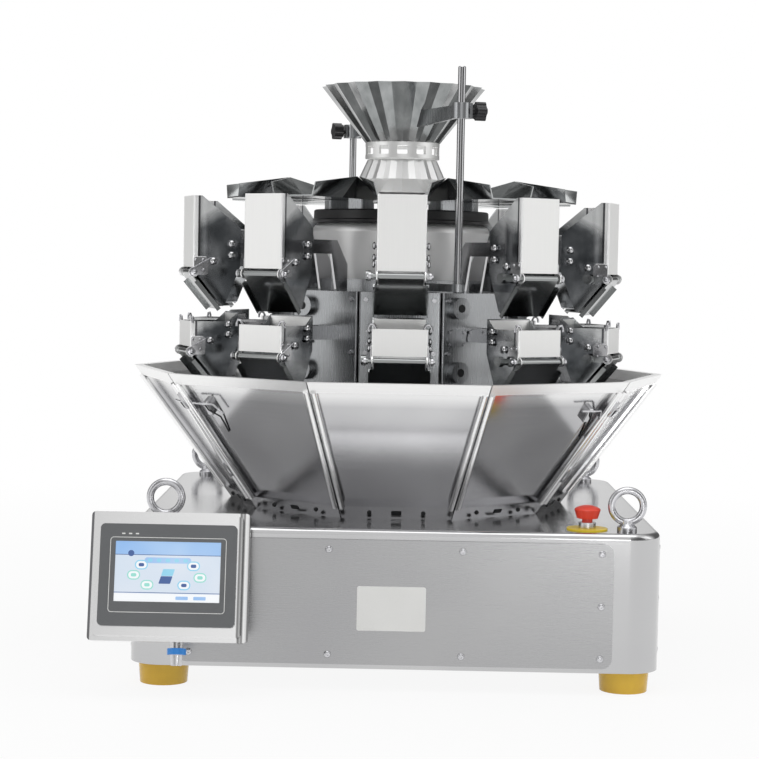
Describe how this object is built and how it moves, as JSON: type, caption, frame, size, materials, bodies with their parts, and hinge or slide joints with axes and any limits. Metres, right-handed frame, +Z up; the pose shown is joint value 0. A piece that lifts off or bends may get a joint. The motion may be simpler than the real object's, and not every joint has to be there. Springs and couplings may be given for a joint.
{
  "type": "multihead_weigher",
  "caption": "Multihead weigher: a ring of feed and weigh hoppers with swinging gates over a collecting funnel, on a rounded steel base with a touch screen.",
  "frame": {"origin": "On the floor, under the middle of the whole machine's bounding box, control box included.", "axes": "X to the machine's right as seen from its front, Y from its front to its back, Z up."},
  "size_m": [0.8944, 0.9168, 0.946],
  "materials": {
    "brushed_steel": "brushed",
    "satin_steel": "satin",
    "polished_steel": "polished",
    "zinc_steel": "zinc plated",
    "foot_resin": "amber resin",
    "yellow_plastic": "gloss",
    "red_plastic": "gloss",
    "dark_plastic": "matt",
    "black_plastic": "satin",
    "blue_plastic": "gloss"
  },
  "bodies": {
    "frame": {"base_housing": "brushed_steel", "service_panels": "brushed_steel", "feet": "foot_resin", "lifting_eyes": "zinc_steel", "stop_collar": "yellow_plastic", "control_box": "satin_steel", "touch_screen": "dark_plastic", "control_bracket": "satin_steel", "cable_gland": "blue_plastic", "collecting_funnel": "polished_steel", "column": "satin_steel", "support_legs": "satin_steel", "drum": "brushed_steel", "shakers": "satin_steel", "feeder_pans": "polished_steel", "dispersion_cone": "polished_steel", "infeed_funnel": "polished_steel", "funnel_rods": "polished_steel", "funnel_arms": "satin_steel", "knobs": "black_plastic", "feed_hoppers": "polished_steel", "weigh_hoppers": "polished_steel", "drive_units": "satin_steel", "hopper_hangers": "polished_steel"},
    "stop_button": {"stop_button": "red_plastic"},
    "feed_gate_01": {"feed_gate_01": "polished_steel"},
    "feed_gate_02": {"feed_gate_02": "polished_steel"},
    "feed_gate_03": {"feed_gate_03": "polished_steel"},
    "feed_gate_04": {"feed_gate_04": "polished_steel"},
    "feed_gate_05": {"feed_gate_05": "polished_steel"},
    "feed_gate_06": {"feed_gate_06": "polished_steel"},
    "feed_gate_07": {"feed_gate_07": "polished_steel"},
    "feed_gate_08": {"feed_gate_08": "polished_steel"},
    "feed_gate_09": {"feed_gate_09": "polished_steel"},
    "feed_gate_10": {"feed_gate_10": "polished_steel"},
    "weigh_gate_01": {"weigh_gate_01": "polished_steel"},
    "weigh_gate_02": {"weigh_gate_02": "polished_steel"},
    "weigh_gate_03": {"weigh_gate_03": "polished_steel"},
    "weigh_gate_04": {"weigh_gate_04": "polished_steel"},
    "weigh_gate_05": {"weigh_gate_05": "polished_steel"},
    "weigh_gate_06": {"weigh_gate_06": "polished_steel"},
    "weigh_gate_07": {"weigh_gate_07": "polished_steel"},
    "weigh_gate_08": {"weigh_gate_08": "polished_steel"},
    "weigh_gate_09": {"weigh_gate_09": "polished_steel"},
    "weigh_gate_10": {"weigh_gate_10": "polished_steel"}
  },
  "joints": [
    {"name": "stop_push", "type": "slide", "parent": "frame", "child": "stop_button", "axis": [0, 0, -1], "range_m": [0, 0.005], "stiffness_N_per_m": 400, "springref_m": -0.005},
    {"name": "feed_gate_01_hinge", "type": "hinge", "parent": "frame", "child": "feed_gate_01", "pos_m": [0.0028, -0.32655, 0.622], "axis": [-1, 0, 0], "range_deg": [0, 45], "stiffness_Nm_per_rad": 0.2, "springref_deg": -57.3},
    {"name": "feed_gate_02_hinge", "type": "hinge", "parent": "frame", "child": "feed_gate_02", "pos_m": [0.21558, -0.25742, 0.622], "axis": [-0.809, -0.5878, 0], "range_deg": [0, 45], "stiffness_Nm_per_rad": 0.2, "springref_deg": -57.3},
    {"name": "feed_gate_03_hinge", "type": "hinge", "parent": "frame", "child": "feed_gate_03", "pos_m": [0.34708, -0.07642, 0.622], "axis": [-0.309, -0.9511, 0], "range_deg": [0, 45], "stiffness_Nm_per_rad": 0.2, "springref_deg": -57.3},
    {"name": "feed_gate_04_hinge", "type": "hinge", "parent": "frame", "child": "feed_gate_04", "pos_m": [0.34708, 0.14731, 0.622], "axis": [0.309, -0.9511, 0], "range_deg": [0, 45], "stiffness_Nm_per_rad": 0.2, "springref_deg": -57.3},
    {"name": "feed_gate_05_hinge", "type": "hinge", "parent": "frame", "child": "feed_gate_05", "pos_m": [0.21558, 0.32831, 0.622], "axis": [0.809, -0.5878, 0], "range_deg": [0, 45], "stiffness_Nm_per_rad": 0.2, "springref_deg": -57.3},
    {"name": "feed_gate_06_hinge", "type": "hinge", "parent": "frame", "child": "feed_gate_06", "pos_m": [0.0028, 0.39744, 0.622], "axis": [1, 0, 0], "range_deg": [0, 45], "stiffness_Nm_per_rad": 0.2, "springref_deg": -57.3},
    {"name": "feed_gate_07_hinge", "type": "hinge", "parent": "frame", "child": "feed_gate_07", "pos_m": [-0.20998, 0.32831, 0.622], "axis": [0.809, 0.5878, 0], "range_deg": [0, 45], "stiffness_Nm_per_rad": 0.2, "springref_deg": -57.3},
    {"name": "feed_gate_08_hinge", "type": "hinge", "parent": "frame", "child": "feed_gate_08", "pos_m": [-0.34148, 0.14731, 0.622], "axis": [0.309, 0.9511, 0], "range_deg": [0, 45], "stiffness_Nm_per_rad": 0.2, "springref_deg": -57.3},
    {"name": "feed_gate_09_hinge", "type": "hinge", "parent": "frame", "child": "feed_gate_09", "pos_m": [-0.34148, -0.07642, 0.622], "axis": [-0.309, 0.9511, 0], "range_deg": [0, 45], "stiffness_Nm_per_rad": 0.2, "springref_deg": -57.3},
    {"name": "feed_gate_10_hinge", "type": "hinge", "parent": "frame", "child": "feed_gate_10", "pos_m": [-0.20998, -0.25742, 0.622], "axis": [-0.809, 0.5878, 0], "range_deg": [0, 45], "stiffness_Nm_per_rad": 0.2, "springref_deg": -57.3},
    {"name": "weigh_gate_01_hinge", "type": "hinge", "parent": "frame", "child": "weigh_gate_01", "pos_m": [0.0028, -0.33055, 0.494], "axis": [-1, 0, 0], "range_deg": [0, 35], "stiffness_Nm_per_rad": 0.2, "springref_deg": -57.3},
    {"name": "weigh_gate_02_hinge", "type": "hinge", "parent": "frame", "child": "weigh_gate_02", "pos_m": [0.21793, -0.26066, 0.494], "axis": [-0.809, -0.5878, 0], "range_deg": [0, 35], "stiffness_Nm_per_rad": 0.2, "springref_deg": -57.3},
    {"name": "weigh_gate_03_hinge", "type": "hinge", "parent": "frame", "child": "weigh_gate_03", "pos_m": [0.35089, -0.07766, 0.494], "axis": [-0.309, -0.9511, 0], "range_deg": [0, 35], "stiffness_Nm_per_rad": 0.2, "springref_deg": -57.3},
    {"name": "weigh_gate_04_hinge", "type": "hinge", "parent": "frame", "child": "weigh_gate_04", "pos_m": [0.35089, 0.14855, 0.494], "axis": [0.309, -0.9511, 0], "range_deg": [0, 35], "stiffness_Nm_per_rad": 0.2, "springref_deg": -57.3},
    {"name": "weigh_gate_05_hinge", "type": "hinge", "parent": "frame", "child": "weigh_gate_05", "pos_m": [0.21793, 0.33155, 0.494], "axis": [0.809, -0.5878, 0], "range_deg": [0, 35], "stiffness_Nm_per_rad": 0.2, "springref_deg": -57.3},
    {"name": "weigh_gate_06_hinge", "type": "hinge", "parent": "frame", "child": "weigh_gate_06", "pos_m": [0.0028, 0.40144, 0.494], "axis": [1, 0, 0], "range_deg": [0, 35], "stiffness_Nm_per_rad": 0.2, "springref_deg": -57.3},
    {"name": "weigh_gate_07_hinge", "type": "hinge", "parent": "frame", "child": "weigh_gate_07", "pos_m": [-0.21233, 0.33155, 0.494], "axis": [0.809, 0.5878, 0], "range_deg": [0, 35], "stiffness_Nm_per_rad": 0.2, "springref_deg": -57.3},
    {"name": "weigh_gate_08_hinge", "type": "hinge", "parent": "frame", "child": "weigh_gate_08", "pos_m": [-0.34528, 0.14855, 0.494], "axis": [0.309, 0.9511, 0], "range_deg": [0, 35], "stiffness_Nm_per_rad": 0.2, "springref_deg": -57.3},
    {"name": "weigh_gate_09_hinge", "type": "hinge", "parent": "frame", "child": "weigh_gate_09", "pos_m": [-0.34528, -0.07766, 0.494], "axis": [-0.309, 0.9511, 0], "range_deg": [0, 35], "stiffness_Nm_per_rad": 0.2, "springref_deg": -57.3},
    {"name": "weigh_gate_10_hinge", "type": "hinge", "parent": "frame", "child": "weigh_gate_10", "pos_m": [-0.21233, -0.26066, 0.494], "axis": [-0.809, 0.5878, 0], "range_deg": [0, 35], "stiffness_Nm_per_rad": 0.2, "springref_deg": -57.3}
  ]
}
